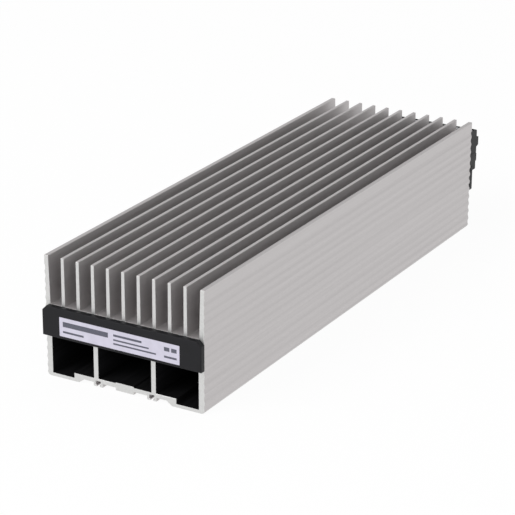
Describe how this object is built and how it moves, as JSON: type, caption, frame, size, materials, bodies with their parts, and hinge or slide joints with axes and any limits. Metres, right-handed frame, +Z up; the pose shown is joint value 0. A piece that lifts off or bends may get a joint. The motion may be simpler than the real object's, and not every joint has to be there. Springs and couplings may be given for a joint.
{
  "type": "enclosure heater",
  "caption": "Long finned aluminium enclosure heater with convection ducts beneath, moulded end caps and a pluggable screw terminal at the rear end.",
  "frame": {"origin": "middle of the box of the whole part, on the plane that its outer floors stand on", "axes": "+X across the fins to the right wall, +Y along the extrusion from the labelled end to the terminal end, +Z up the fins"},
  "size_m": [0.09, 0.3072, 0.063],
  "materials": {
    "anodised_aluminium": "matt natural anodised extrusion",
    "black_polyamide": "fine moulded texture",
    "label_film": "satin polyester film",
    "terminal_polyamide": "satin moulded",
    "mica_board": "dry matt",
    "strip_aluminium": "rolled",
    "polyimide_film": "glossy film",
    "silicone_rubber": "matt",
    "lead_red": "smooth silicone insulation",
    "lead_white": "smooth silicone insulation",
    "tinned_copper": "tin plated",
    "tinned_brass": "tin plated",
    "zinc_steel": "bright zinc plated",
    "ptc_ceramic": "fired ceramic with metallised faces"
  },
  "bodies": {
    "root": {"clamp_cage_earth": "zinc_steel", "clamp_cage_live": "zinc_steel", "clamp_cage_neutral": "zinc_steel", "clamp_screw_earth": "zinc_steel", "clamp_screw_live": "zinc_steel", "clamp_screw_neutral": "zinc_steel", "contact_strip_lower": "strip_aluminium", "contact_strip_upper": "strip_aluminium", "earth_screw": "zinc_steel", "earth_strap": "tinned_copper", "earth_washer": "zinc_steel", "flange_screw_left": "zinc_steel", "flange_screw_right": "zinc_steel", "fork_contact_earth": "tinned_brass", "fork_contact_live": "tinned_brass", "fork_contact_neutral": "tinned_brass", "front_end_cap": "black_polyamide", "front_slot_seal": "silicone_rubber", "header_pin_earth": "tinned_brass", "header_pin_live": "tinned_brass", "header_pin_neutral": "tinned_brass", "heatsink_profile": "anodised_aluminium", "insulating_sleeve": "polyimide_film", "live_lead": "lead_red", "neutral_lead": "lead_white", "ptc_stone_1": "ptc_ceramic", "ptc_stone_2": "ptc_ceramic", "ptc_stone_3": "ptc_ceramic", "ptc_stone_4": "ptc_ceramic", "ptc_stone_5": "ptc_ceramic", "ptc_stone_6": "ptc_ceramic", "rating_label": "label_film", "rear_cap_screw_left": "zinc_steel", "rear_cap_screw_right": "zinc_steel", "rear_end_cap": "black_polyamide", "rear_slot_seal": "silicone_rubber", "stone_frame": "mica_board", "terminal_header": "terminal_polyamide", "terminal_plug": "terminal_polyamide"}
  },
  "joints": []
}
